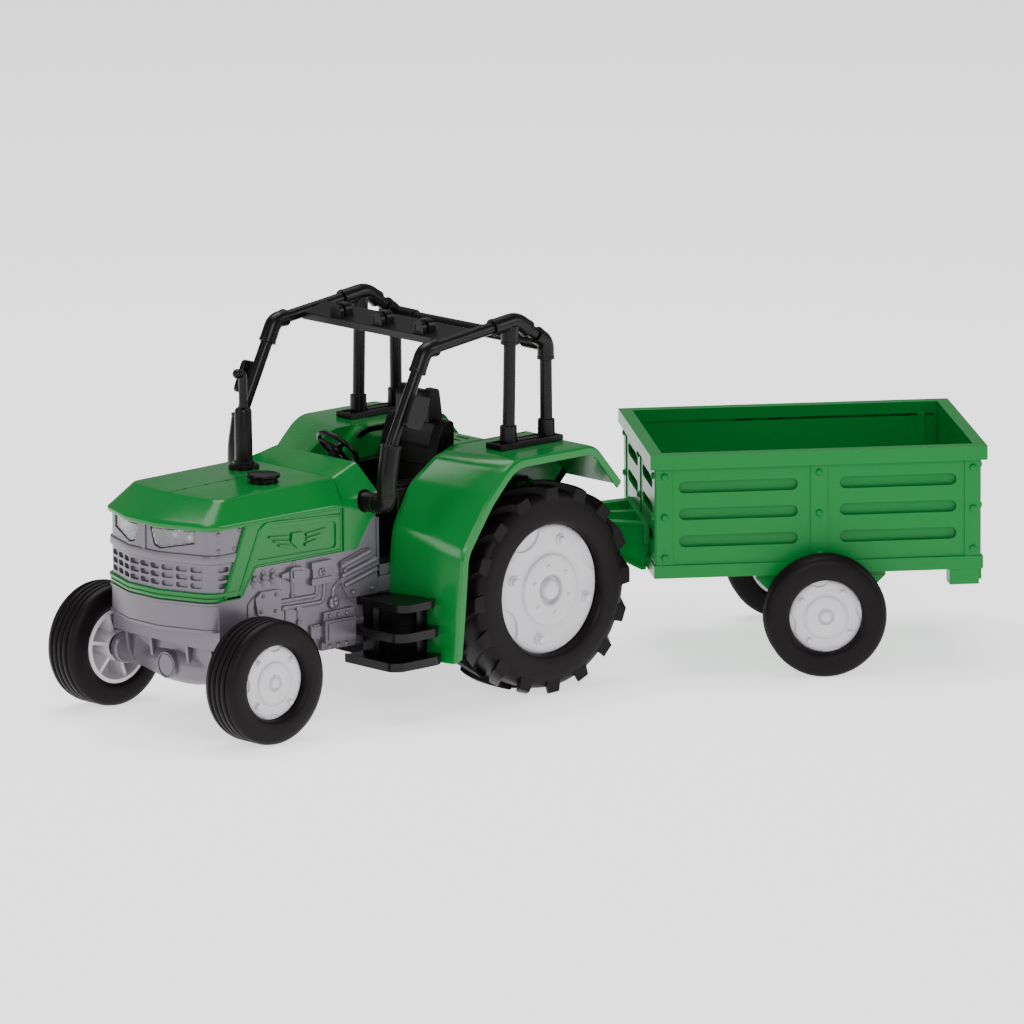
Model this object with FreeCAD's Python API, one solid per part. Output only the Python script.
import FreeCAD, Part
import math
import os

# A push-along toy farm tractor with an open two-wheeled trailer on its hitch.
# The tractor is drawn with its rear axle over X 0, its nose towards -X, its left
# side towards -Y, Z up from the floor. The trailer is drawn straight behind its
# own axle, then turned about the hitch pin. At the end everything is moved so
# that the origin is the middle of the whole toy's box, on the floor. Millimetres.

Vec = FreeCAD.Vector

# ---- Driving dimensions: wheels and axles
REAR_WHEEL_R = 37.0
REAR_LUG_HEIGHT = 2.2
REAR_LUGS = 16
REAR_TYRE_WIDTH = 25.0
REAR_RIM_R = 23.3
REAR_WHEEL_Y = 44.0
FRONT_WHEEL_R = 21.4
FRONT_RIM_R = 13.3
FRONT_TYRE_WIDTH = 14.5
FRONT_WHEEL_Y = 41.75
TRAILER_TYRE_WIDTH = 10.6
WHEELBASE = 119.0
REAR_AXLE_R = 2.0
SMALL_AXLE_R = 1.5
RIM_RECESS = 2.1
RUNNING_CLEARANCE = 0.06
SIDE_CLEARANCE = 0.5
BODY_GAP = 0.3

# ---- Driving dimensions: tractor body
WALL = 2.0
BODY_HALF = 28.0
FRONT_X = -WHEELBASE
NOSE_X = FRONT_X - 17.8
FACET_HALF = 7.9
FACET_DROP = 6.0
CORNER_HALF = 25.0
CORNER_DROP = 9.4
SILL_Z = 24.0
NOSE_BOTTOM_Z = 36.6
BAND_BOTTOM_Z = 47.3
BAND_TOP_Z = 50.5
PANEL_BOTTOM_Z = 57.0
FLANGE_Z = 73.4
HOOD_TOP_Z = 82.0
HOOD_TOP_HALF = 23.6
HOOD_TOP_FRONT = FRONT_X - 3.8
HOOD_LIP = 0.6
STRIP_FOOT = (FRONT_X - 6.4, FRONT_X + 1.7)
STRIP_BACK_X = FRONT_X + 8.0
STRIP_TOP_X = FRONT_X + 4.2
SEAM_X = -71.5
COWL_REAR_X = -55.0
COWL_TOP_Z = 85.6
BLOCK_REAR_X = -56.0
LEDGE_Z = 67.0
NOTCH = (-65.3, -58.7)
TAIL_X = 24.0
FLOOR_Z = 50.0
BEAM_HALF = FRONT_WHEEL_Y - FRONT_TYRE_WIDTH / 2 - 1.5
BEAM_TOP_Z = 30.0
BEAM_TUBE_R = 5.2

# ---- Driving dimensions: fenders, seat, cage
FENDER_OUT = 57.0
FENDER_IN = 30.0
FENDER_TOP_Z = 85.5
FENDER_FOOT_Z = 18.0
DECK_EDGE = (31.8, 71.3)
TAIL_TOP_Z = 64.0
DECK_Z = 80.0
DECK_HALF = 22.0
DECK_FRONT_X = -6.0
DECK_REAR_X = 18.5
SHELF_FRONT_X = -18.0
SHELF_REAR_X = 19.7
CAGE_HALF = 39.2
TUBE_R = 2.15
COLLAR_R = 2.95
SLEEVE_R = 3.3
COLLAR_HEIGHT = 6.0
REAR_POST_X = 12.6
MID_POST_X = -5.0
REAR_ELBOW_Z = 120.2
PEAK_Z = 129.8
FRONT_ELBOW = (-45.3, 123.4)
SLEEVE_TOP = (-58.0, 93.5)
FOOT_ELBOW = (-60.9, 73.0)
CAGE_PLATE = 1.5
LAMP_FOOT_Z = 126.4
LAMP_HALF = 3.3
LAMP_PITCH = 21.6
SEAT_HALF = 16.0
SEAT_BACK_X = -7.0
STEERING_AT = (-48.8, 0.0, 86.1)
STEERING_R = 8.5
COLUMN_FOOT = (-60.0, 0.0, 75.6)

# ---- Driving dimensions: hood fittings
BUTTON_AT = (-92.4, -11.4)
BUTTON_R = 5.75
BUTTON_NECK_R = 4.85
BUTTON_TOP = 2.7
BUTTON_TRAVEL = 1.1
STACK_AT = (-82.0, 11.0)
STACK_BODY_R = 2.75
STACK_PIPE_R = 1.45
BOARD_FRONT = FRONT_X + 9.0
BOARD_REAR = -76.0
BOARD_Z = 62.0
BOARD_THICK = 1.6

# ---- Driving dimensions: trailer
HITCH_X = 34.0
HITCH_PIN_R = 3.0
HITCH_TIP_R = 2.8
HITCH_PLATE_Z = 43.2
HITCH_PIN_TOP = 57.0
DRAWBAR_REACH = 101.7
DRAWBAR_LOW = 43.5
DRAWBAR_HIGH = 50.5
TRAILER_YAW = -35.3
BED_FRONT = -58.1
BED_REAR = 56.0
BED_HALF = 41.5
BED_BOTTOM_Z = 34.7
BED_FLOOR_Z = 39.3
BED_TOP_Z = 78.6
BED_WALL = 2.5
RIM_OUT = 2.1
RIM_HEIGHT = 5.1
RIM_IN_HALF = BED_HALF - BED_WALL
TRAILER_WHEEL_Y = BED_HALF + 1.5 + TRAILER_TYRE_WIDTH / 2
GATE_THICK = 2.4
GATE_PIN_R = 0.9
HANGER_HALF = 22.8
TRAILER_SCREWS = [(x, y) for x in (-18.0, 18.0) for y in (-20.0, 20.0)]
SCREW_HEAD = (2.3, 1.2)
SCREW_R = 1.2
BRACKET_HALF = BED_HALF - 2.0


# ---- Small helpers
def block(x0, x1, y0, y1, z0, z1):
    return Part.makeBox(x1 - x0, y1 - y0, z1 - z0, Vec(x0, y0, z0))


def rod(radius, start, end):
    run = Vec(*end) - Vec(*start)
    return Part.makeCylinder(radius, run.Length, Vec(*start), run)


def ball(radius, at):
    return Part.makeSphere(radius, Vec(*at))


def outline_face(points):
    return Part.Face(Part.makePolygon(points + [points[0]]))


def side_prism(points, y0, y1):
    """Extrude an X-Z outline from y0 to y1."""
    face = outline_face([Vec(x, y0, z) for x, z in points])
    return face.extrude(Vec(0, y1 - y0, 0))


def plan_prism(points, z0, z1):
    """Extrude an X-Y outline from z0 to z1."""
    face = outline_face([Vec(x, y, z0) for x, y in points])
    return face.extrude(Vec(0, 0, z1 - z0))


def front_prism(points, x0, x1):
    """Extrude a Y-Z outline from x0 to x1."""
    face = outline_face([Vec(x0, y, z) for y, z in points])
    return face.extrude(Vec(x1 - x0, 0, 0))


def fused(shapes):
    whole = shapes[0]
    if len(shapes) > 1:
        whole = whole.fuse(shapes[1:])
    return whole.removeSplitter()


def group(shapes):
    return Part.makeCompound(shapes)


def mirrored(shape):
    """The same piece on the other side of the centre line."""
    return shape.mirror(Vec(0, 0, 0), Vec(0, 1, 0))


def both(shape):
    return [shape, mirrored(shape)]


def ring(outer, inner, start, end):
    return rod(outer, start, end).cut(rod(inner, start, end))


def tube_run(radius, points):
    """Round tube along straight runs, with a ball at each bend."""
    pieces = [rod(radius, a, b) for a, b in zip(points, points[1:])]
    pieces += [ball(radius, p) for p in points[1:-1]]
    return fused(pieces)


def turned(profile, at_y, x, z):
    """Spin a (radius, y) profile about the wheel axis at x, z."""
    face = outline_face([Vec(x + r, at_y + y, z) for r, y in profile])
    return face.revolve(Vec(x, 0, z), Vec(0, 1, 0), 360)


# ---- Wheels
def tyre(x, y, z, outer, rim, width, lug_height, lugs):
    """A tyre with rounded shoulders; lugs stand out in two staggered rows."""
    half = width / 2
    crown = outer - lug_height
    shoulder = min(3.0, half / 2)
    profile = [(rim, -half + 1), (rim + 1, -half), (crown - shoulder, -half),
               (crown, -half + shoulder), (crown, half - shoulder),
               (crown - shoulder, half), (rim + 1, half), (rim, half - 1)]
    body = turned(profile, y, x, z)
    if not lugs:
        return body
    pieces = [body]
    lug = block(-2.2, 2.2, 0.6, half - 0.2, crown - 1.5, outer + 1)
    lug.rotate(Vec(0, 0, 0), Vec(0, 0, 1), 24)
    lug = lug.common(turned([(crown - 1.6, 0.3), (outer, 0.3), (outer, half - 2.6),
                             (crown - 1.6, half)], 0, 0, 0))
    other = lug.mirror(Vec(0, 0, 0), Vec(0, 1, 0))
    pitch = 360.0 / lugs
    for index in range(lugs):
        for shape, turn in ((lug, index * pitch), (other, (index + 0.5) * pitch)):
            piece = shape.copy()
            piece.rotate(Vec(0, 0, 0), Vec(0, 1, 0), turn)
            piece.translate(Vec(x, y, z))
            pieces.append(piece)
    return fused(pieces)


def rim(x, y, z, radius, width, axle_r, side):
    """A dished rim: outer face with a hub, open and hollow on the inner side."""
    half = width / 2
    face = half - RIM_RECESS
    hub = radius * 0.3
    profile = [(axle_r, -half + SIDE_CLEARANCE), (hub, -half + SIDE_CLEARANCE),
               (hub, face - WALL), (radius - WALL, face - WALL),
               (radius - WALL, -half + 1), (radius, -half + 1), (radius, half - 1),
               (radius - 1.2, face), (hub * 1.8, face), (hub * 1.7, face + 0.6),
               (hub, face + 0.6), (hub * 0.9, face), (axle_r + 0.5, face + 0.8),
               (axle_r, face + 0.8)]
    if side < 0:
        profile = [(r, -across) for r, across in profile]
    return turned(profile, y, x, z)


def wheel_set(name, x, z, wheel_y, outer, rim_r, width, axle_r, lug_height=0.0, lugs=0):
    """Axle, two rims pressed on it and two tyres on the rims."""
    reach = wheel_y + width / 2 - RIM_RECESS
    nodes = {name + "_axle": rod(axle_r, (x, -reach, z), (x, reach, z))}
    for label, side in (("left", -1), ("right", 1)):
        y = side * wheel_y
        nodes[name + "_rim_" + label] = rim(x, y, z, rim_r, width, axle_r, side)
        nodes[name + "_tyre_" + label] = tyre(x, y, z, outer, rim_r, width, lug_height, lugs)
    return nodes


# ---- Nose outline shared by the grille, the green band, the bumper and the lamps
def nose_points(inset, back_x):
    half = BODY_HALF - inset
    front = NOSE_X + inset
    right = [(front, FACET_HALF), (front + FACET_DROP, CORNER_HALF - inset * 0.7),
             (front + CORNER_DROP - inset * 0.3, half), (back_x, half)]
    return right + [(x, -y) for x, y in reversed(right)]


def nose_prism(inset, back_x, z0, z1):
    return plan_prism(nose_points(inset, back_x), z0, z1)


def side_panel():
    """Green side of the hood: a leaning strip in front and the long panel."""
    points = [(STRIP_FOOT[0], BAND_BOTTOM_Z), (STRIP_FOOT[1], BAND_BOTTOM_Z),
              (STRIP_BACK_X, PANEL_BOTTOM_Z), (SEAM_X, PANEL_BOTTOM_Z),
              (SEAM_X, FLANGE_Z), (STRIP_TOP_X, FLANGE_Z)]
    return side_prism(points, -BODY_HALF, -BODY_HALF + WALL)


def hood_cover(inset):
    """Low roof of the hood, from its lip up to the flat top."""
    lip = nose_points(inset - HOOD_LIP, SEAM_X)
    top_half = HOOD_TOP_HALF - inset
    top_x = HOOD_TOP_FRONT + inset
    right = [(top_x - 1.6, FACET_HALF), (top_x, top_half - 2), (top_x + 2, top_half),
             (SEAM_X, top_half)]
    top = right + [(x, -y) for x, y in reversed(right)]
    top_z = HOOD_TOP_Z - inset
    wires = []
    for points, z in ((lip, FLANGE_Z), (top, top_z)):
        corners = [Vec(x, y, z) for x, y in points]
        wires.append(Part.makePolygon(corners + [corners[0]]))
    return Part.makeLoft(wires, True, True)


def hood():
    cover = hood_cover(0).cut(hood_cover(WALL))
    lip = nose_prism(-HOOD_LIP, SEAM_X, FLANGE_Z - 1.4, FLANGE_Z)
    lip = lip.cut(nose_prism(WALL, SEAM_X, FLANGE_Z - 1.4, FLANGE_Z))
    band = nose_prism(0, STRIP_FOOT[1], BAND_BOTTOM_Z, BAND_TOP_Z)
    band = band.cut(nose_prism(WALL, STRIP_FOOT[1], BAND_BOTTOM_Z, BAND_TOP_Z))
    posts = [rod(2.0, (x, y, BOARD_Z + BOARD_THICK), (x, y, HOOD_TOP_Z - 1))
             for x in (BOARD_FRONT + 3, BOARD_REAR - 3) for y in (-17.0, 17.0)]
    shell = fused([cover, lip, band] + both(side_panel()) + posts)
    x, y = BUTTON_AT
    bore = rod(BUTTON_NECK_R + BODY_GAP, (x, y, FLANGE_Z), (x, y, HOOD_TOP_Z + 1))
    shell = shell.cut(bore)
    x, y = STACK_AT
    return shell.cut(rod(STACK_BODY_R, (x, y, FLANGE_Z), (x, y, HOOD_TOP_Z + 1)))


SLOT_HALF = 1.9
SLOT_RISE = 0.8
SLOT_PITCH = (5.4, 2.7)
SLOT_LOW_Z = 52.6
LAMP_PLATE_X = FRONT_X - 8.0
LAMP_WINDOW = [(3.0, 71.4), (21.0, 71.6), (21.0, 67.2), (8.0, 64.4), (5.0, 65.2)]
LAMP_Y = (8.6, 16.2)
LAMP_Z = 68.6


def grille():
    """Grey nose panel with its slots and two lamp windows."""
    skin = 0.7
    top = FLANGE_Z - 1.4
    shell = nose_prism(skin, STRIP_BACK_X, BAND_TOP_Z, top)
    shell = shell.cut(nose_prism(skin + WALL, STRIP_BACK_X, BAND_TOP_Z, top))
    behind = side_prism([(STRIP_FOOT[0], BAND_BOTTOM_Z), (0, BAND_BOTTOM_Z), (0, FLANGE_Z),
                         (STRIP_TOP_X, FLANGE_Z)], -BODY_HALF - 1, BODY_HALF + 1)
    shell = shell.cut(behind)
    cuts = []
    for row in range(3):
        z = SLOT_LOW_Z + SLOT_PITCH[1] * row
        for column in range(-4, 5):
            y = SLOT_PITCH[0] * column
            cuts.append(block(NOSE_X - 1, LAMP_PLATE_X, y - SLOT_HALF, y + SLOT_HALF,
                              z - SLOT_RISE, z + SLOT_RISE))
    window = front_prism(LAMP_WINDOW, NOSE_X - 1, LAMP_PLATE_X)
    return shell.cut(cuts + both(window))


def headlamps():
    """Clear lenses, the reflector carriers behind them and the four LEDs."""
    window = front_prism(LAMP_WINDOW, NOSE_X - 1, LAMP_PLATE_X)
    low, high = BAND_TOP_Z, FLANGE_Z - 1.4
    sheet = nose_prism(1.1, STRIP_BACK_X, low, high).cut(nose_prism(2.4, STRIP_BACK_X, low, high))
    lens = window.common(sheet)
    plate = block(LAMP_PLATE_X, LAMP_PLATE_X + 1, 3.0, 20.5, 63.6, high)
    cups = []
    leds = []
    for y in LAMP_Y:
        front, back = (LAMP_PLATE_X - 2.4, y, LAMP_Z), (LAMP_PLATE_X, y, LAMP_Z)
        cups.append(ring(3.4, 2.7, front, back))
        leds.append(fused([rod(1.4, (LAMP_PLATE_X - 1.8, y, LAMP_Z), back),
                           ball(1.4, (LAMP_PLATE_X - 1.8, y, LAMP_Z))]).cut(plate))
    carrier = fused([plate] + cups)
    return {"headlamp_lens_right": lens, "headlamp_lens_left": mirrored(lens),
            "headlamp_reflectors": group(both(carrier)),
            "headlamp_leds": group(leds + [mirrored(led) for led in leds])}


# ---- Lower body
def chassis():
    """Grey engine block, bumper and rear housing: one open-bottomed shell."""
    nose = nose_prism(0, FRONT_X + 7.0, NOSE_BOTTOM_Z, BAND_BOTTOM_Z)
    side = [(FRONT_X - 8.0, BEAM_TOP_Z), (FRONT_X + 19.0, BEAM_TOP_Z), (FRONT_X + 23.0, SILL_Z),
            (TAIL_X, SILL_Z), (TAIL_X, FLOOR_Z),
            (BLOCK_REAR_X, FLOOR_Z), (BLOCK_REAR_X, LEDGE_Z), (NOTCH[1], LEDGE_Z),
            (NOTCH[0], PANEL_BOTTOM_Z),
            (STRIP_BACK_X, PANEL_BOTTOM_Z), (STRIP_FOOT[1], BAND_BOTTOM_Z),
            (FRONT_X - 8.0, BAND_BOTTOM_Z)]
    hull = fused([nose, side_prism(side, -BODY_HALF, BODY_HALF)])
    inner = [(FRONT_X - 6.0, SILL_Z - 1), (TAIL_X - WALL, SILL_Z - 1), (TAIL_X - WALL, FLOOR_Z - WALL),
             (BLOCK_REAR_X - WALL, FLOOR_Z - WALL), (BLOCK_REAR_X - WALL, LEDGE_Z + 1),
             (-59.5, LEDGE_Z + 1), (-67.0, PANEL_BOTTOM_Z + 1), (FRONT_X + 7.0, PANEL_BOTTOM_Z + 1),
             (FRONT_X + 0.4, BAND_BOTTOM_Z - 0.5), (FRONT_X + 0.4, 46.0), (FRONT_X - 6.0, 46.0)]
    half_in = BODY_HALF - WALL
    shell = hull.cut(side_prism(inner, -half_in, half_in))
    bosses = []
    for side_y in (-1, 1):
        bosses.append(rod(5.0, (0, side_y * 19.0, REAR_WHEEL_R),
                          (0, side_y * (half_in + 0.5), REAR_WHEEL_R)))
    shell = fused([shell] + bosses)
    bore = REAR_AXLE_R + RUNNING_CLEARANCE
    shell = shell.cut(rod(bore, (0, -BODY_HALF - 1, REAR_WHEEL_R),
                          (0, BODY_HALF + 1, REAR_WHEEL_R)))
    return shell.cut(block(FRONT_X - 8.5, FRONT_X + 20.0, -22.0, 22.0, BEAM_TOP_Z - 1.0,
                           BEAM_TOP_Z + 2.0))


BASE_SCREWS = [(-88.0, -20.0), (-88.0, 20.0), (-62.0, -20.0), (-62.0, 20.0), (16.0, -20.0),
               (16.0, 20.0)]
DOOR = (-54.0, -10.0, -9.0, 9.0)
CELL_R = 5.8
CELL_HEIGHT = 5.4


def base():
    """Floor plate, battery door, cells, speaker and the screws."""
    half_in = BODY_HALF - WALL
    plate = block(FRONT_X + 24.0, TAIL_X - WALL, -half_in, half_in, SILL_Z, SILL_Z + WALL)
    x0, x1, y0, y1 = DOOR
    door = block(x0, x1, y0, y1, SILL_Z, SILL_Z + 1.2)
    frame = block(x0 - 1, x1 + 1, y0 - 1, y1 + 1, SILL_Z + WALL, SILL_Z + WALL + 7)
    frame = frame.cut(block(x0 + 1, x1 - 1, y0 + 1, y1 - 1, SILL_Z, SILL_Z + WALL + 6))
    opening = block(x0, x1, y0, y1, SILL_Z - 1, SILL_Z + 1.2)
    opening = opening.fuse(block(x0 + 1, x1 - 1, y0 + 1, y1 - 1, SILL_Z, SILL_Z + WALL + 1))
    speaker_x = -75.0
    head_r, head_height = SCREW_HEAD
    holes = [rod(1.0, (speaker_x + dx, dy, SILL_Z - 1), (speaker_x + dx, dy, SILL_Z + WALL + 1))
             for dx in (-5.0, 0.0, 5.0) for dy in (-5.0, 0.0, 5.0)]
    heads = []
    for x, y in BASE_SCREWS:
        holes.append(rod(head_r, (x, y, SILL_Z - 1), (x, y, SILL_Z + head_height)))
        holes.append(rod(SCREW_R, (x, y, SILL_Z), (x, y, SILL_Z + WALL + 1)))
        heads.append(fused([rod(head_r, (x, y, SILL_Z), (x, y, SILL_Z + head_height)),
                            rod(SCREW_R, (x, y, SILL_Z + head_height), (x, y, SILL_Z + 9.0))]))
    plate = fused([plate, frame]).cut(opening).cut(holes)
    screw_x = x1 - 4.0
    door = door.cut(rod(1.6, (screw_x, 0, SILL_Z - 1), (screw_x, 0, SILL_Z + 2)))
    door_screw = rod(1.6, (screw_x, 0, SILL_Z), (screw_x, 0, SILL_Z + 1.2))
    cells = [rod(CELL_R, (x0 + 8.0 + 12.4 * i, 0, SILL_Z + WALL),
                 (x0 + 8.0 + 12.4 * i, 0, SILL_Z + WALL + CELL_HEIGHT)) for i in range(3)]
    speaker = fused([rod(12.0, (speaker_x, 0, SILL_Z + WALL), (speaker_x, 0, SILL_Z + WALL + 3)),
                     rod(6.0, (speaker_x, 0, SILL_Z + WALL + 3), (speaker_x, 0, SILL_Z + WALL + 6))])
    return {"base_plate": plate, "battery_door": door, "battery_cells": group(cells),
            "speaker": speaker, "base_screws": group(heads + [door_screw])}


def front_beam():
    """Cast-look front axle beam under the nose, with the axle tunnel through it."""
    x, z = FRONT_X, FRONT_WHEEL_R
    top = BEAM_TOP_Z
    tube = rod(BEAM_TUBE_R, (x, -BEAM_HALF, z), (x, BEAM_HALF, z))
    middle = front_prism([(-22.0, top), (22.0, top), (22.0, z - 4.0), (9.0, z - 7.2),
                          (-9.0, z - 7.2), (-22.0, z - 4.0)], x - 6.0, x + 6.0)
    cover = rod(4.6, (x - 8.5, 0, z), (x, 0, z))
    neck = block(x - 7.5, x + 17.0, -21.5, 21.5, top - 1.0, top + 2.0)
    bore = rod(SMALL_AXLE_R + RUNNING_CLEARANCE, (x, -BEAM_HALF - 1, z), (x, BEAM_HALF + 1, z))
    return fused([tube, middle, cover, neck]).cut(bore)


# ---- Cowl, dash and cab
def cowl_solid(inset):
    half_low = BODY_HALF + 0.4 - inset
    wires = []
    for x, shoulder, top_half, top_z in ((SEAM_X, FLANGE_Z, HOOD_TOP_HALF, HOOD_TOP_Z),
                                         (COWL_REAR_X, 75.2, 20.6, COWL_TOP_Z + 1)):
        right = [(half_low, PANEL_BOTTOM_Z), (half_low, shoulder),
                 (top_half - inset, top_z - inset)]
        points = right + [(-y, z) for y, z in reversed(right)]
        corners = [Vec(x, y, z) for y, z in points]
        wires.append(Part.makePolygon(corners + [corners[0]]))
    solid = Part.makeLoft(wires, True, True)
    side = [(SEAM_X - 1, PANEL_BOTTOM_Z), (NOTCH[0], PANEL_BOTTOM_Z), (NOTCH[1], LEDGE_Z),
            (BLOCK_REAR_X, LEDGE_Z), (COWL_REAR_X - 0.5, 75.2), (-59.4, COWL_TOP_Z),
            (SEAM_X - 1, COWL_TOP_Z + 4)]
    return solid.common(side_prism(side, -BODY_HALF - 2, BODY_HALF + 2))


def cowl():
    half_in = BODY_HALF - WALL
    inside = cowl_solid(WALL)
    inside = inside.common(block(SEAM_X - 1, -50.0, -half_in, half_in, 50.0, 90.0))
    shell = cowl_solid(0).cut(inside)
    foot_x, foot_z = FOOT_ELBOW
    for side in (-1, 1):
        shell = shell.cut(rod(COLLAR_R, (foot_x, side * 20.0, foot_z),
                              (foot_x, side * 40.0, foot_z)))
    return shell


def dashboard():
    half = BODY_HALF - WALL - 0.2
    panel = side_prism([(-61.5, 68.0), (-58.2, 68.0), (-57.8, 75.0), (-60.5, 81.5),
                        (-63.0, 81.5), (-61.0, 75.0)], -18.0, 18.0)
    x, y, z = STEERING_AT
    run = (Vec(x, y, z) - Vec(*COLUMN_FOOT)).normalize()
    end = Vec(x, y, z) - run * 2.6
    column = rod(1.8, COLUMN_FOOT, (end.x, end.y, end.z)).cut(panel)
    tabs = [block(-61.5, -58.6, side * 18.0 - (half - 18.0 if side < 0 else 0),
                  side * 18.0 + (half - 18.0 if side > 0 else 0), 68.0, 70.0)
            for side in (-1, 1)]
    return {"dashboard": fused([panel] + tabs), "steering_column": column}


def steering_wheel():
    """Rim, three spokes and boss, square to the column."""
    x, y, z = STEERING_AT
    run = Vec(x, y, z) - Vec(*COLUMN_FOOT)
    run.normalize()
    at = Vec(x, y, z)
    rim_ring = Part.makeTorus(STEERING_R - 0.9, 0.9, at, run)
    boss = Part.makeCylinder(2.0, 2.2, at - run * 2.2, run)
    pieces = [rim_ring, boss]
    across = Vec(0, 1, 0)
    up = run.cross(across)
    for turn in (90.0, 210.0, 330.0):
        angle = math.radians(turn)
        out = across * math.cos(angle) + up * math.sin(angle)
        pieces.append(Part.makeCylinder(0.8, STEERING_R - 1.0, at - run * 0.9, out))
    return fused(pieces)


def cab():
    """Cab floor with its side console, and the seat."""
    half = BODY_HALF - 0.2
    floor = block(BLOCK_REAR_X, TAIL_X - WALL - 0.2, -half, half, FLOOR_Z, FLOOR_Z + 2.0)
    pedestal = block(-34.0, -10.0, -13.0, 13.0, FLOOR_Z + 2.0, FLOOR_Z + 8.0)
    console = block(-46.0, -8.0, -half, -SEAT_HALF - 1.5, FLOOR_Z + 2.0, 75.0)
    locker = block(-30.0, -8.0, SEAT_HALF + 1.5, half, FLOOR_Z + 2.0, 75.0)
    lever = rod(1.0, (-38.0, -22.0, 75.0), (-40.0, -22.0, 83.0)).cut(console)
    knob = ball(1.8, (-40.0, -22.0, 83.6))
    cushion_z = FLOOR_Z + 8.0
    cushion = block(-38.0, -13.0, -SEAT_HALF + 1, SEAT_HALF - 1, cushion_z, cushion_z + 7)
    back = side_prism([(-18.0, cushion_z), (-9.0, cushion_z), (SEAT_BACK_X, 92.0), (-13.5, 92.0)],
                      -SEAT_HALF, SEAT_HALF)
    head = side_prism([(-15.5, 91.0), (SEAT_BACK_X - 1, 91.0), (SEAT_BACK_X - 2, 102.8),
                       (-13.5, 102.8)], -9.0, 9.0)
    wing = side_prism([(-22.0, cushion_z), (-14.0, cushion_z), (-11.0, 87.0), (-18.5, 87.0)],
                      SEAT_HALF - 3.0, SEAT_HALF + 1.0)
    return {"cab_floor": fused([floor, pedestal, console, locker, lever, knob]),
            "seat": fused([cushion, back, head] + both(wing))}


# ---- Fenders and rear deck
FENDER_OUTER = [(-46.1, FENDER_FOOT_Z), (-44.7, 34.0), (-42.6, 56.2), (-30.7, 73.1),
                (-20.8, 83.0), (-16.0, FENDER_TOP_Z), (SHELF_REAR_X, FENDER_TOP_Z), DECK_EDGE]
FENDER_INNER = [(-51.8, FENDER_FOOT_Z), (-51.3, 41.0), (-48.9, 62.0), (-41.0, 76.3),
                (-29.5, 84.0), (-25.0, FENDER_TOP_Z), (SHELF_REAR_X, FENDER_TOP_Z), DECK_EDGE]


def towards_axle(points, depth):
    moved = []
    for x, z in points:
        reach = math.hypot(x, z - REAR_WHEEL_R)
        keep = (reach - depth) / reach
        moved.append((x * keep, REAR_WHEEL_R + (z - REAR_WHEEL_R) * keep))
    return moved


def fender_arch(depth0, depth1):
    """Skin between two depths below the fender's surface, from inner to outer edge."""
    wires = []
    for points, y in ((FENDER_INNER, FENDER_IN), (FENDER_OUTER, FENDER_OUT)):
        strip = towards_axle(points, depth0) + list(reversed(towards_axle(points, depth1)))
        corners = [Vec(x, y, z) for x, z in strip]
        wires.append(Part.makePolygon(corners + [corners[0]]))
    return Part.makeLoft(wires, True, True)


def fender_body():
    """Both fenders, the walls inboard of the wheels, the deck and the tail panel."""
    arch = fender_arch(0, WALL + 0.2)
    side = [(-51.8, FENDER_FOOT_Z + 8), (TAIL_X, FENDER_FOOT_Z + 8), (TAIL_X, TAIL_TOP_Z),
            DECK_EDGE] + list(reversed(FENDER_INNER[1:-1]))
    wall = side_prism(side, BODY_HALF, FENDER_IN)
    axle_hole = rod(4.6, (0, BODY_HALF - 1, REAR_WHEEL_R), (0, FENDER_IN + 1, REAR_WHEEL_R))
    wall = wall.cut(axle_hole)
    skirt = [(TAIL_X, FLOOR_Z), (TAIL_X - WALL, FLOOR_Z), (TAIL_X - WALL, TAIL_TOP_Z + WALL)]
    deck = side_prism([(DECK_FRONT_X, DECK_Z - WALL), (DECK_FRONT_X, DECK_Z), (DECK_REAR_X, DECK_Z),
                       (TAIL_X, TAIL_TOP_Z)] + skirt + [(DECK_REAR_X - WALL, DECK_Z - WALL)],
                      -DECK_HALF, DECK_HALF)
    edge_x, edge_z = DECK_EDGE
    rear = [(SHELF_REAR_X, FENDER_TOP_Z), DECK_EDGE, (TAIL_X, TAIL_TOP_Z)]
    shelf = side_prism([(SHELF_FRONT_X, FENDER_TOP_Z - WALL), (SHELF_FRONT_X, FENDER_TOP_Z)] + rear
                       + skirt + [(edge_x - 3.4, edge_z + 0.7),
                                  (SHELF_REAR_X - 1, FENDER_TOP_Z - WALL)], DECK_HALF, FENDER_IN)
    shelf_wall = side_prism([(SHELF_FRONT_X, DECK_Z - WALL), (SHELF_FRONT_X, FENDER_TOP_Z)] + rear
                            + [(TAIL_X - WALL, TAIL_TOP_Z), (DECK_FRONT_X, DECK_Z - WALL)],
                            DECK_HALF, DECK_HALF + WALL)
    return fused(both(arch) + both(wall) + both(shelf) + both(shelf_wall) + [deck])


# ---- Steps
def step():
    """Three treads on a ribbed riser, on the right-hand side."""
    def tread(x0, x1, reach, z0, z1):
        corner = 1.5
        return plan_prism([(x0, BODY_HALF), (x0, reach - corner), (x0 + corner, reach),
                           (x1, reach), (x1, BODY_HALF)], z0, z1)
    treads = [tread(-64.0, -45.6, 45.0, 36.4, 38.6), tread(-66.2, -45.6, 47.0, 28.0, 30.6),
              tread(-71.6, -45.6, 49.0, SILL_Z - 6.2, SILL_Z - 3.0)]
    riser = block(-62.0, -46.0, BODY_HALF, 40.0, SILL_Z - 3.0, 36.4)
    whole = fused(treads + [riser])
    filled = fender_arch(0, 60.0 - FENDER_FOOT_Z)
    wedge = plan_prism([(-51.8, FENDER_IN), (-46.0, FENDER_OUT), (-20.0, FENDER_OUT),
                        (-20.0, BODY_HALF - 1), (-51.8, BODY_HALF - 1)], 0, 60.0)
    return whole.cut(filled).cut(wedge)


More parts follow.
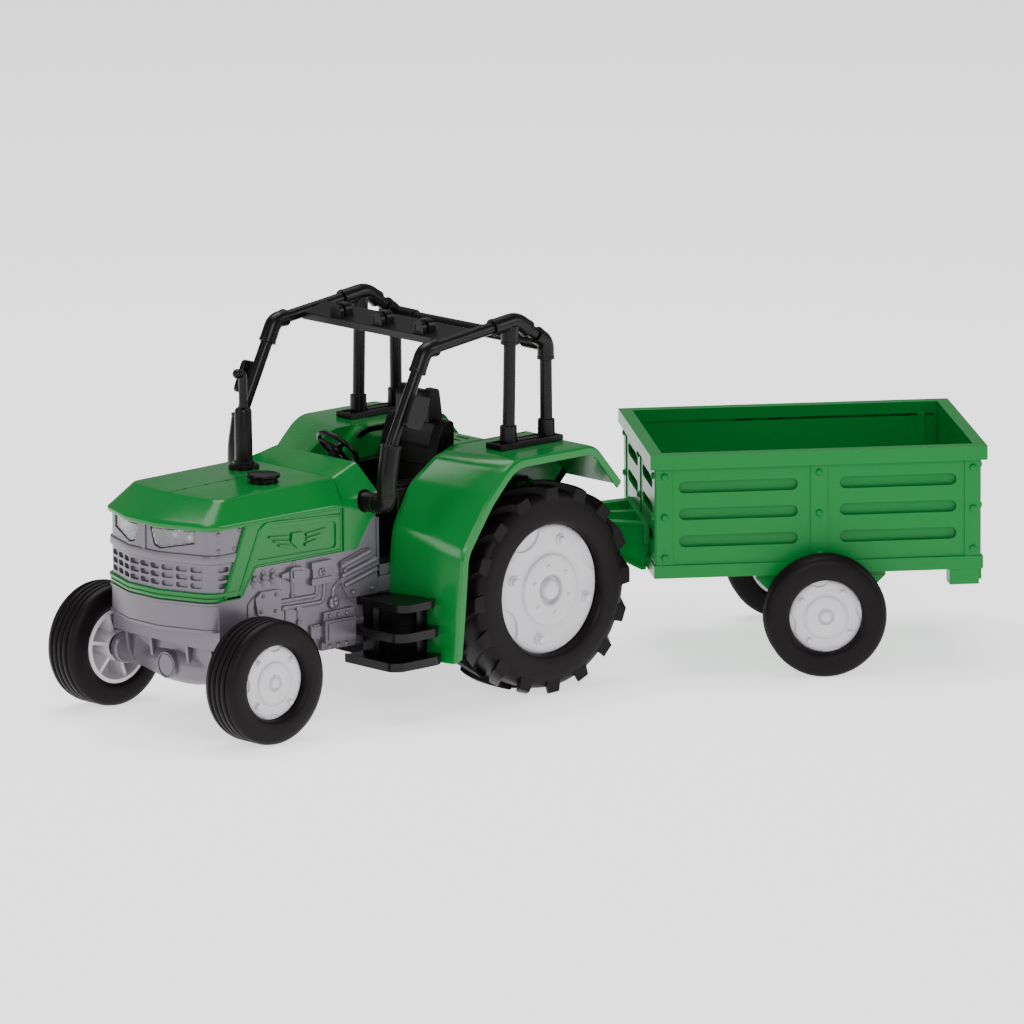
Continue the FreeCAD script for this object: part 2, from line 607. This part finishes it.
# ---- Roll cage
def cage_side():
    """Right-hand frame: posts, roof rail, slanted pillar and foot."""
    y = CAGE_HALF
    base_z = FENDER_TOP_Z + CAGE_PLATE
    mid_top = (MID_POST_X + 1.5, y, PEAK_Z)
    pieces = [tube_run(TUBE_R, [(REAR_POST_X, y, base_z), (REAR_POST_X, y, REAR_ELBOW_Z - 2.5),
                                (REAR_POST_X - 2.5, y, REAR_ELBOW_Z + 2.6), mid_top,
                                (FRONT_ELBOW[0] + 3.0, y, FRONT_ELBOW[1] + 0.6),
                                (FRONT_ELBOW[0] - 2.0, y, FRONT_ELBOW[1] - 5.0),
                                (SLEEVE_TOP[0], y, SLEEVE_TOP[1]),
                                (FOOT_ELBOW[0], y, FOOT_ELBOW[1] + 6.0),
                                (FOOT_ELBOW[0], y, FOOT_ELBOW[1]),
                                (FOOT_ELBOW[0], BODY_HALF - 5.0, FOOT_ELBOW[1])])]
    pieces.append(rod(TUBE_R, (MID_POST_X, y, base_z), mid_top))
    pieces.append(rod(COLLAR_R, (MID_POST_X, y, base_z), (MID_POST_X, y, base_z + COLLAR_HEIGHT)))
    pieces.append(rod(COLLAR_R, (REAR_POST_X, y, base_z), (REAR_POST_X, y, base_z + COLLAR_HEIGHT)))
    pieces.append(ball(COLLAR_R, mid_top))
    pieces.append(ball(COLLAR_R, (REAR_POST_X, y, REAR_ELBOW_Z - 1.0)))
    pieces.append(ball(COLLAR_R, (FRONT_ELBOW[0], y, FRONT_ELBOW[1] - 1.5)))
    sleeve_foot = (FOOT_ELBOW[0], y, FOOT_ELBOW[1] + 10.3)
    pieces.append(rod(SLEEVE_R, sleeve_foot, (SLEEVE_TOP[0], y, SLEEVE_TOP[1])))
    pieces.append(ball(SLEEVE_R, sleeve_foot))
    pieces.append(rod(COLLAR_R + 0.25, (FOOT_ELBOW[0], y, FOOT_ELBOW[1]),
                      (FOOT_ELBOW[0], BODY_HALF + 1.0, FOOT_ELBOW[1])))
    pieces.append(ball(COLLAR_R + 0.25, (FOOT_ELBOW[0], y, FOOT_ELBOW[1])))
    pieces.append(block(MID_POST_X - 7.0, REAR_POST_X + 4.4, y - 4.0, y + 4.0, FENDER_TOP_Z,
                        base_z))
    return fused(pieces)


def cage():
    side = cage_side()
    cross_z = REAR_ELBOW_Z - 0.5
    tube = rod(TUBE_R, (REAR_POST_X + 0.6, -CAGE_HALF, cross_z),
               (REAR_POST_X + 0.6, CAGE_HALF, cross_z))
    sides = both(side)
    tube = tube.cut(sides)
    bar = side_prism([(-30.6, 124.4), (-20.4, 127.2), (-20.9, 129.0), (-31.1, 126.2)],
                     -CAGE_HALF, CAGE_HALF).cut(sides)
    lamps = []
    for y in (-LAMP_PITCH, 0.0, LAMP_PITCH):
        body = side_prism([(-30.2, LAMP_FOOT_Z), (-24.9, LAMP_FOOT_Z + 1.5),
                           (-25.2, LAMP_FOOT_Z + 4.6), (-30.5, LAMP_FOOT_Z + 4.0)],
                          y - LAMP_HALF, y + LAMP_HALF)
        lamps.append(body.cut(bar))
    return {"roll_cage_right": side, "roll_cage_left": sides[1],
            "cage_cross_tube": tube, "light_bar": bar, "roof_lamps": group(lamps)}


def mirror_plate():
    """Mirror on the right-hand slanted pillar."""
    y = CAGE_HALF
    plate = side_prism([(-57.4, 100.4), (-50.4, 98.2), (-46.0, 109.2), (-52.9, 111.4)],
                       y + 4.0, y + 6.4)
    arm = rod(1.2, (-52.4, y, 104.5), (-52.0, y + 4.6, 104.7))
    return fused([plate, arm]).cut(cage_side())


# ---- Hood fittings
def hood_fittings():
    x, y = STACK_AT
    z = HOOD_TOP_Z
    stack = fused([rod(5.3, (x, y, z), (x, y, z + 1.4)), rod(3.7, (x, y, z), (x, y, z + 2.6)),
                   rod(STACK_BODY_R, (x, y, z - 3.0), (x, y, z + 22.5)),
                   rod(STACK_PIPE_R, (x, y, z + 20.0), (x, y, z + 32.4)),
                   ball(STACK_PIPE_R, (x, y, z + 32.4)),
                   rod(STACK_PIPE_R, (x, y, z + 32.4), (x - 3.6, y, z + 33.0)),
                   ball(STACK_PIPE_R + 0.3, (x - 3.6, y, z + 33.0))])
    x, y = BUTTON_AT
    cap_low = z + BUTTON_TOP - 1.4
    flange_z = z - WALL - 3.0
    switch_z = BOARD_Z + BOARD_THICK + 2.6
    button = fused([rod(BUTTON_R, (x, y, cap_low), (x, y, z + BUTTON_TOP)),
                    rod(BUTTON_NECK_R, (x, y, flange_z), (x, y, cap_low)),
                    rod(BUTTON_NECK_R + 1.0, (x, y, flange_z - 1.2), (x, y, flange_z)),
                    rod(1.6, (x, y, switch_z + BUTTON_TRAVEL + 0.1), (x, y, flange_z))])
    spring = ring(4.2, 3.7, (x, y, BOARD_Z + BOARD_THICK), (x, y, flange_z - 1.2))
    board = block(BOARD_FRONT, BOARD_REAR, -20.0, 20.0, BOARD_Z, BOARD_Z + BOARD_THICK)
    switch = block(x - 2.4, x + 2.4, y - 2.4, y + 2.4, BOARD_Z + BOARD_THICK, switch_z)
    chip = block(-86.0, -80.0, -3.0, 5.0, BOARD_Z + BOARD_THICK, BOARD_Z + BOARD_THICK + 1.4)
    return {"exhaust_stack": stack, "button_cap": button, "button_spring": spring,
            "sound_board": fused([board, switch, chip])}


# ---- Hitch
def hitch():
    bracket = fused([block(TAIL_X, HITCH_X + 6.0, -7.0, 7.0, HITCH_PLATE_Z - 3.2, HITCH_PLATE_Z),
                     block(TAIL_X, TAIL_X + 2.0, -12.0, 12.0, 30.0, HITCH_PLATE_Z),
                     side_prism([(TAIL_X, 31.0), (HITCH_X + 4.0, HITCH_PLATE_Z - 3.2),
                                 (TAIL_X, HITCH_PLATE_Z - 3.2)], -1.5, 1.5)])
    bracket = bracket.cut(rod(HITCH_PIN_R - 1.0, (HITCH_X, 0, 30.0), (HITCH_X, 0, 60.0)))
    pin = fused([rod(HITCH_PIN_R, (HITCH_X, 0, HITCH_PLATE_Z), (HITCH_X, 0, DRAWBAR_HIGH + 0.5)),
                 rod(HITCH_TIP_R, (HITCH_X, 0, DRAWBAR_HIGH), (HITCH_X, 0, HITCH_PIN_TOP)),
                 rod(HITCH_PIN_R - 1.0, (HITCH_X, 0, HITCH_PLATE_Z - 6.0),
                     (HITCH_X, 0, HITCH_PLATE_Z)),
                 rod(HITCH_PIN_R, (HITCH_X, 0, HITCH_PLATE_Z - 7.2),
                     (HITCH_X, 0, HITCH_PLATE_Z - 6.0))])
    pin = pin.cut(bracket)
    return {"hitch_bracket": bracket, "hitch_pin": pin}


# ---- Trailer, in its own straight frame with its axle over X 0
def trailer_bed():
    outer = block(BED_FRONT, BED_REAR, -BED_HALF, BED_HALF, BED_BOTTOM_Z, BED_TOP_Z)
    band = block(BED_FRONT - 0.8, BED_REAR + 0.8, -BED_HALF - 0.8, BED_HALF + 0.8,
                 BED_BOTTOM_Z, BED_FLOOR_Z)
    rim_low = BED_TOP_Z - RIM_HEIGHT
    rail = block(BED_FRONT - RIM_OUT, BED_REAR + RIM_OUT, -BED_HALF - RIM_OUT,
                 BED_HALF + RIM_OUT, rim_low, BED_TOP_Z)
    inner_half = BED_HALF - BED_WALL
    hollow = block(BED_FRONT + BED_WALL, BED_REAR + 5, -inner_half, inner_half, BED_FLOOR_Z,
                   rim_low)
    mouth = block(BED_FRONT + BED_WALL, BED_REAR + 5, -RIM_IN_HALF, RIM_IN_HALF, rim_low - 1,
                  BED_TOP_Z + 1)
    under = block(BED_FRONT + 3, BED_REAR - 3, -BED_HALF + 3, BED_HALF - 3, BED_BOTTOM_Z - 1,
                  BED_FLOOR_Z - 2.2)
    under = under.cut(block(-24.0, 24.0, -BED_HALF, BED_HALF, BED_BOTTOM_Z - 1, BED_FLOOR_Z))
    feet = both(block(45.2, 55.4, BED_HALF - 7.0, BED_HALF - 0.5, BED_BOTTOM_Z - 5.5,
                      BED_BOTTOM_Z + 1))
    shell = fused([outer, band, rail]).cut([hollow, mouth, under])
    gate_x, gate_z = gate_hinge()
    pin_hole = rod(GATE_PIN_R, (gate_x, -BED_HALF - 1, gate_z), (gate_x, BED_HALF + 1, gate_z))
    shell = fused([shell] + feet).cut(pin_hole)
    holes = [rod(SCREW_R, (x, y, BED_BOTTOM_Z - 1), (x, y, BED_FLOOR_Z - 1.0))
             for x, y in TRAILER_SCREWS]
    return shell.cut(holes)


def gate_hinge():
    """Centre of the tailgate's hinge in the trailer's X and Z."""
    return BED_REAR - GATE_THICK / 2, BED_FLOOR_Z + GATE_THICK / 2 + 0.1


def tailgate():
    half = BED_HALF - BED_WALL - BODY_GAP
    hinge_x, hinge_z = gate_hinge()
    rim_low = BED_TOP_Z - RIM_HEIGHT
    panel = block(BED_REAR - GATE_THICK, BED_REAR, -half, half, hinge_z, rim_low + 1)
    knuckle = rod(GATE_THICK / 2, (hinge_x, -half, hinge_z), (hinge_x, half, hinge_z))
    rail = block(BED_REAR - GATE_THICK, BED_REAR + RIM_OUT, -RIM_IN_HALF + BODY_GAP,
                 RIM_IN_HALF - BODY_GAP, rim_low, BED_TOP_Z)
    bore = rod(GATE_PIN_R + RUNNING_CLEARANCE, (hinge_x, -half - 1, hinge_z),
               (hinge_x, half + 1, hinge_z))
    return fused([panel, knuckle, rail]).cut(bore)


def gate_pin():
    hinge_x, hinge_z = gate_hinge()
    return rod(GATE_PIN_R, (hinge_x, -BED_HALF, hinge_z), (hinge_x, BED_HALF, hinge_z))


def drawbar():
    """A-frame of three bars from the bed's front panel to the hitch eye."""
    back = BED_FRONT - 0.05
    eye_x = -DRAWBAR_REACH
    spread = 21.0
    arm_half = 1.6
    eye_r = HITCH_PIN_R + 3.5
    eye_side = 3.4
    lean = math.degrees(math.atan2(spread - eye_side, back - eye_x))
    pieces = [rod(eye_r, (eye_x, 0, DRAWBAR_LOW), (eye_x, 0, DRAWBAR_HIGH)),
              block(back - 2.0, back, -spread - 3.0, spread + 3.0, DRAWBAR_LOW, DRAWBAR_HIGH),
              block(eye_x + 2, back - 1, -arm_half, arm_half, DRAWBAR_LOW, DRAWBAR_HIGH)]
    for side in (-1, 1):
        run = [(eye_x, side * eye_side - arm_half), (eye_x, side * eye_side + arm_half),
               (back, side * spread + arm_half), (back, side * spread - arm_half)]
        pieces.append(plan_prism(run, DRAWBAR_LOW, DRAWBAR_HIGH))
        web = side_prism([(back - 26.0, DRAWBAR_LOW + 1), (back - 2.0, 33.8), (back - 1.0, 33.8),
                          (back - 1.0, DRAWBAR_LOW + 1)], -1.0, 1.0)
        web.rotate(Vec(back, 0, 0), Vec(0, 0, 1), side * lean)
        web.translate(Vec(0, side * spread, 0))
        pieces.append(web)
    whole = fused(pieces).cut(block(back, 0, -60, 60, 0, 100))
    whole = whole.cut(block(BED_FRONT - 0.85, 0, -60, 60, 0, BED_FLOOR_Z + 0.05))
    return whole.cut(rod(HITCH_PIN_R + RUNNING_CLEARANCE, (eye_x, 0, 0), (eye_x, 0, 100)))


def axle_bracket():
    """Two hanging plates under the bed and the plate that joins them."""
    top = BED_BOTTOM_Z
    z = FRONT_WHEEL_R
    hanger = [(-HANGER_HALF, top - 1.5), (HANGER_HALF, top - 1.5), (7.0, z - 4.0), (-7.0, z - 4.0)]
    plates = [side_prism(hanger, side * BRACKET_HALF - (3.0 if side > 0 else 0),
                         side * BRACKET_HALF + (3.0 if side < 0 else 0)) for side in (-1, 1)]
    top_plate = block(-HANGER_HALF, HANGER_HALF, -BRACKET_HALF, BRACKET_HALF, top - 1.5, top)
    tunnel = rod(4.0, (0, -BRACKET_HALF, z), (0, BRACKET_HALF, z))
    spine = block(-1.2, 1.2, -BRACKET_HALF, BRACKET_HALF, z, top - 1)
    whole = fused(plates + [top_plate, tunnel, spine])
    bore = rod(SMALL_AXLE_R + RUNNING_CLEARANCE, (0, -BRACKET_HALF - 1, z),
               (0, BRACKET_HALF + 1, z))
    holes = [rod(SCREW_R, (x, y, top - 5), (x, y, top + 1)) for x, y in TRAILER_SCREWS]
    return whole.cut([bore] + holes)


def trailer_screws():
    top = BED_BOTTOM_Z - 1.5
    head_r, head_height = SCREW_HEAD
    return group([fused([rod(head_r, (x, y, top - head_height), (x, y, top)),
                         rod(SCREW_R, (x, y, top), (x, y, BED_FLOOR_Z - 1.0))])
                  for x, y in TRAILER_SCREWS])


def trailer():
    nodes = wheel_set("trailer", 0, FRONT_WHEEL_R, TRAILER_WHEEL_Y, FRONT_WHEEL_R, FRONT_RIM_R,
                      TRAILER_TYRE_WIDTH, SMALL_AXLE_R)
    nodes.update({"trailer_bed": trailer_bed(), "tailgate": tailgate(), "tailgate_pin": gate_pin(),
                  "trailer_drawbar": drawbar(), "trailer_axle_bracket": axle_bracket(),
                  "trailer_screws": trailer_screws()})
    return nodes


def place_on_hitch(shape):
    """Move a trailer piece from the trailer's own frame to the tractor's."""
    shape.translate(Vec(DRAWBAR_REACH + HITCH_X, 0, 0))
    shape.rotate(Vec(HITCH_X, 0, 0), Vec(0, 0, 1), TRAILER_YAW)
    return shape


# ---- Whole toy
def tractor():
    nodes = wheel_set("rear", 0, REAR_WHEEL_R, REAR_WHEEL_Y, REAR_WHEEL_R, REAR_RIM_R,
                      REAR_TYRE_WIDTH, REAR_AXLE_R, REAR_LUG_HEIGHT, REAR_LUGS)
    nodes.update(wheel_set("front", FRONT_X, FRONT_WHEEL_R, FRONT_WHEEL_Y, FRONT_WHEEL_R,
                           FRONT_RIM_R, FRONT_TYRE_WIDTH, SMALL_AXLE_R))
    right_step = step()
    right_mirror = mirror_plate()
    nodes.update({"hood": hood(), "grille": grille(), "chassis": chassis(),
                  "front_axle_beam": front_beam(), "dash_cowl": cowl(),
                  "steering_wheel": steering_wheel(), "fender_body": fender_body(),
                  "step_right": right_step, "step_left": mirrored(right_step),
                  "mirror_right": right_mirror, "mirror_left": mirrored(right_mirror)})
    for part in (headlamps(), base(), dashboard(), cab(), cage(), hood_fittings(), hitch()):
        nodes.update(part)
    return nodes


def main():
    nodes = tractor()
    for name, shape in trailer().items():
        nodes[name] = place_on_hitch(shape)
    box = Part.makeCompound(list(nodes.values())).optimalBoundingBox(False)
    shift = Vec(-(box.XMin + box.XMax) / 2, -(box.YMin + box.YMax) / 2, -box.ZMin)
    os.makedirs("parts", exist_ok=True)
    for name, shape in sorted(nodes.items()):
        shape.translate(shift)
        if not shape.isValid():
            print("not valid:", name)
        shape.exportStep("parts/" + name + ".step")
    print("nodes", len(nodes), "box", box.XLength, box.YLength, box.ZLength)
    print("tractor origin in the toy's frame", tuple(shift))


main()
